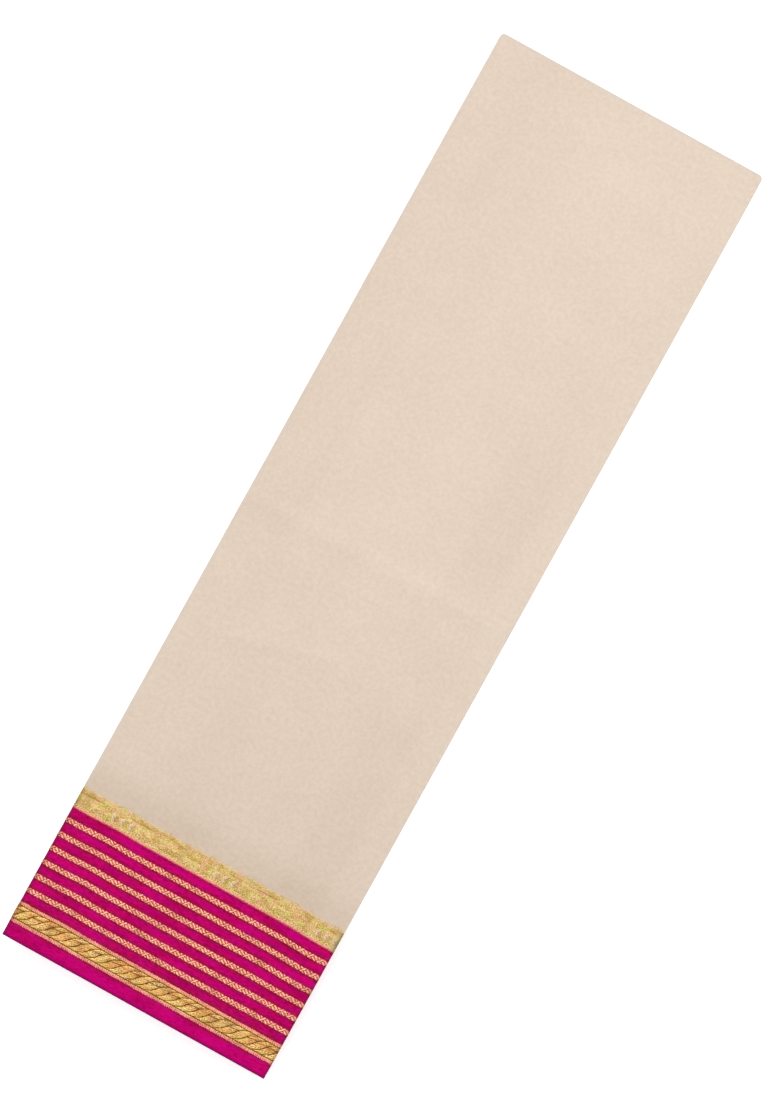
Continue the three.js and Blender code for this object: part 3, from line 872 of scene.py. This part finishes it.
def border_silk():
    """The border: magenta ground, coral lines, latticed stripes, rope band and gold inner band."""
    made, shader, along, across = start_material("magenta border silk", 0.5, 0.15, 0.0, (1, 0.2, 0.6, 1))
    put(shader.inputs["Specular Tint"], (1.0, 0.08, 0.5, 1.0))
    grain, shade = use(CREPE, along, across, Size=0.9)
    uneven = border_unevenness(along, across)

    lead = 2.0  # of the ground before a stripe, counted with it
    offset = (across - FIRST_STRIPE + lead).wrap(STRIPE_PITCH) - lead + uneven.ragged
    in_stripes = across.inside(FIRST_STRIPE - 1.6, STRIPES_END + 1.6, 0.1)
    stripe = offset.inside(0.28, STRIPE_WIDTH + 0.16, 0.14) * in_stripes
    rope_band = across.inside(ROPE, ROPE_END, 0.12)
    rope = across.inside(ROPE + LOW_LINE, ROPE_END - HIGH_LINE, 0.12)
    inner = across.ramp(INNER - 0.12, INNER + 0.12)

    zari, stripe_relief = stripe_zari(along, across, offset, uneven)
    gold, rope_relief = rope_gold(along, across, uneven)
    inner_colour, cover, curl = use(INNER_GOLD, along, across - INNER)
    # The cream here is darker than the field's, carrying on the painted shade towards the border join.
    cream = mix(shade, dye(206, 186, 164), dye(222, 202, 182))
    x = along.from_middle(2 * WIDTH)  # from the strip's left fold
    # Painted shade along both sides of the border, where the cloth turns down.
    fold_edge_shade = x.near(0.3, 2.0) + x.near(WIDTH - 1.2, 2.0)
    edging = (across + uneven.ragged).inside(EDGING_FROM, EDGING_TO, 0.12)
    colour = coats(
        magenta_ground(along, across, offset, in_stripes, shade, uneven),
        (stripe, zari),
        (edging, rope_edging(along, across, uneven)),
        (rope, gold),
        (uneven.dark_and_glint_patches.ramp(0.5, 0.34) * stripe.larger(rope_band) * 0.28, dye(124, 56, 40)),
        (inner, mix(cover, cream, inner_colour)),
        # Painted shade on the inner band towards the right side, where the cloth turns down.
        (x.ramp(WIDTH - 6, WIDTH - 1.5) * inner * 0.5, dye(170, 160, 122)),
        (fold_edge_shade * 0.42, dye(66, 26, 44)),
    )
    put(shader.inputs["Base Color"], colour)

    metal = (stripe * 0.15).larger(rope_band * 0.35).larger(inner * cover * 0.3)
    put(shader.inputs["Metallic"], metal)
    put(shader.inputs["Roughness"], metal.ramp(0.0, 0.3, 0.6, 0.45))
    bump(shader, grain * 0.4 + stripe * stripe_relief * 0.9 + rope_relief * 0.9 + inner * curl * 0.6, 0.12)
    return made


FIELD_SILK = field_silk()
BORDER_SILK = border_silk()


def dress(piece, in_border, nodes):
    """Gives a piece its two silks, and ties it to the frame."""
    piece.data.materials.append(FIELD_SILK)
    piece.data.materials.append(BORDER_SILK)
    piece.data.polygons.foreach_set("material_index", in_border.astype(np.int32))
    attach(piece, "root")
    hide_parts(*nodes)


# ---- the pieces ----

EDGE_ROW = 0.04  # the narrow row along every edge, which rounds it
EDGE_SHARE = EDGE_ROW / WIDTH
COLUMN = dict(field=1.6, border=0.56, under=6)  # how far apart the grid's stations lie along the saree
ROW = dict(selvedge=1.2, rope=0.42, ground=1.4, stripe=0.5, inner=0.7, field=2.0)  # and from the selvedge on top
FINE_END = LENGTH - 20  # from here END_ROWS take over
FOLD_TURNS = np.linspace(0, math.pi, 9)[1:-1]  # round a fold at the side
END_TURNS = np.linspace(0, math.pi, 7)  # round the fold across the width
END_ROWS = LENGTH - np.array([12, 6, 3.6, 2.6, 1.8, 1.1, 0.6, 0.25])
TUCKED_ROWS = LENGTH - np.array([0.6, 2.0, TUCK])


def places(low, high, step, *marks):
    """Evenly spaced places from low to high, with the marks put in."""
    return np.unique(np.concatenate([np.linspace(low, high, max(2, round((high - low) / step) + 1)), marks]))


def side_stretch(columns, top):
    """Stations of the top panel or the lowest one, with its left fold and a tuck of the next panel."""
    before = LAST - 1 if top else 0  # the panel before the fold
    turn = [(before, 1.0, angle) for angle in FOLD_TURNS]
    if top:
        tuck = [(before, share, np.nan) for share in (1 - TUCK_SHARE, 1 - TUCK_SHARE / 3)]
        rows = tuck + [(before, 1.0, 0.0)] + turn + [(LAST, share, np.nan) for share in columns]
    else:
        tuck = [(1, share, np.nan) for share in (0.0, TUCK_SHARE / 3, TUCK_SHARE)]
        rows = [(0, share, np.nan) for share in columns] + turn + tuck
    panel, share, angle = (np.array(column) for column in zip(*rows))
    return panel.astype(int), share, angle


top_columns = places(0, 1, COLUMN["field"] / WIDTH, 0.003, 1 - 0.003, 1 - EDGE_SHARE)
field_rows = np.concatenate([places(BORDER, FINE_END, ROW["field"], BORDER + EDGE_ROW), END_ROWS])
field_stations = side_stretch(top_columns, True)
field_cloth, in_border = shell("field_cloth", field_stations, across_stations(field_rows, TUCKED_ROWS, END_TURNS))
dress(field_cloth, in_border, ["top_field"])

border_columns = places(0, 1, COLUMN["border"] / WIDTH, 1 - EDGE_SHARE)
border_rows = [places(0, ROPE, ROW["selvedge"], EDGE_ROW), places(ROPE, ROPE_END, ROW["rope"])[1:]]
for start in STRIPE_STARTS:
    previous, end = border_rows[-1][-1], start + STRIPE_WIDTH
    border_rows.append(places(previous, start, ROW["ground"], previous + SHOULDER, start - SHOULDER)[1:-1])
    border_rows.append(places(start, end, ROW["stripe"], start + SHOULDER, end - SHOULDER))
border_rows.append(places(border_rows[-1][-1], INNER, ROW["ground"])[1:-1])
border_rows.append(places(INNER, BORDER, ROW["inner"], BORDER - EDGE_ROW))
border_rows = np.concatenate(border_rows)
border_stations = side_stretch(border_columns, True)
border_across = (border_rows, LENGTH - FOLD_RADIUS * math.pi / 2 - border_rows, np.zeros(len(border_rows)))
raised = border_relief(along_of(border_stations)[:, None], border_rows[None, :])
border_cloth, in_border = shell("border_cloth", border_stations, border_across, raised)
border_nodes = ["top_selvedge", "top_rope_band", "top_inner_band"]
border_nodes += [f"top_ground_{i + 1}" for i in range(STRIPES + 1)]
border_nodes += [f"top_zari_stripe_{i + 1}" for i in range(STRIPES)]
dress(border_cloth, in_border, border_nodes)

under_columns = places(0, 1, COLUMN["under"] / WIDTH, EDGE_SHARE, 0.01)
under_rows = np.concatenate([places(0, BORDER, 4, EDGE_ROW), places(BORDER, FINE_END, 8)[1:], END_ROWS])
under_stations = side_stretch(under_columns, False)
under_cloth, in_border = shell("under_cloth", under_stations, across_stations(under_rows, TUCKED_ROWS, END_TURNS))
dress(under_cloth, in_border, ["under_field", "under_border"])

# The folds between: the whole saree but for the front leaf's top and under stretches.
inner_shares = [0, TUCK_SHARE / 3, TUCK_SHARE, 0.12, 0.5, 0.88, 1 - TUCK_SHARE, 1 - TUCK_SHARE / 3, 1]
all_stations = path(inner_shares, FOLD_TURNS)
leaf_rows = [[0, EDGE_ROW, 4, 12], places(24, BORDER, 24), places(BORDER, FINE_END, 26)[1:], END_ROWS]
leaf_rows = np.concatenate(leaf_rows)
back_rows = np.concatenate([TUCKED_ROWS, leaf_rows[leaf_rows < LENGTH - TUCK - 1][::-1]])
all_across = across_stations(leaf_rows, back_rows, END_TURNS)
count = (len(all_stations[0]) - 1, len(all_across[0]) - 1)
row, column = np.meshgrid(*(np.arange(n) for n in count), indexing="ij")
each_panel = len(inner_shares) + len(FOLD_TURNS)
front = column < len(leaf_rows) + len(END_TURNS) + len(TUCKED_ROWS) - 1
top_part = row >= (LAST - 1) * each_panel + len(inner_shares) - 3  # from the last tuck before the top fold
under_part = row < each_panel + 2  # to the end of the first tuck after the lowest fold
keep = ~(front & (top_part | under_part))
hidden_folds, in_border = shell("hidden_folds", all_stations, all_across, keep=keep)
dress(hidden_folds, in_border, ["layers_field", "layers_border"])

# ---- floor, lights and camera ----


def studio():
    """A plain white floor that is clear from below, an even sky, and one broad soft lamp beyond the plain end."""
    below = 0.2 * MM  # the cloth's lowest face, so that the two don't meet
    bpy.ops.mesh.primitive_plane_add(size=40, location=(0, 0, -below))
    floor = bpy.context.object
    floor.name = "floor"
    paint = bpy.data.materials.new("white floor")
    paint.use_nodes = True
    nodes = paint.node_tree.nodes
    shader = nodes["Principled BSDF"]
    fill(shader, {"Base Color": (0.9, 0.9, 0.9, 1), "Roughness": 0.9})
    fill(shader, {"Emission Color": (1, 1, 1, 1), "Emission Strength": 0.45})
    from_below = add(nodes, "NewGeometry").outputs["Backfacing"]
    clear = add(nodes, "BsdfTransparent").outputs[0]
    either = add(nodes, "MixShader", {0: from_below, 1: shader.outputs[0], 2: clear})
    put(nodes["Material Output"].inputs["Surface"], either.outputs[0])
    floor.data.materials.append(paint)
    world = bpy.data.worlds.new("studio")
    world.use_nodes = True
    fill(world.node_tree.nodes["Background"], {"Color": (1, 1, 1, 1), "Strength": 0.89})
    bpy.context.scene.world = world
    lamp_data = bpy.data.lights.new("soft lamp", "AREA")
    lamp_data.shape = "DISK"
    lamp_data.size = 3
    lamp_data.energy = 110
    lamp = bpy.data.objects.new("soft lamp", lamp_data)
    lamp.location = (-1.6, 2.2, 3.2)
    lamp.rotation_euler = (-lamp.location).to_track_quat("-Z", "Y").to_euler()
    lamp.visible_camera = False
    bpy.context.scene.collection.objects.link(lamp)
    bpy.context.scene.view_settings.view_transform = "Standard"


def camera():
    """Straight above, turned so that the plain end points up and to the right."""
    lean = math.radians(29.0)
    shown = 635.9  # millimetres from the picture's bottom to its top
    lens, sensor = 150.0, 36.0
    data = bpy.data.cameras.new("camera")
    data.lens, data.sensor_width = lens, sensor
    made = bpy.data.objects.new("camera", data)
    right, up = 4.1, 0.8  # of the strip's middle
    made.location = (
        (right * math.cos(lean) - up * math.sin(lean)) * MM,
        (right * math.sin(lean) + up * math.cos(lean)) * MM,
        (shown * lens / sensor + PRESSED) * MM,
    )
    made.rotation_euler = Euler((0, 0, lean))
    data.clip_end = 100
    bpy.context.scene.collection.objects.link(made)
    bpy.context.scene.camera = made


studio()
camera()
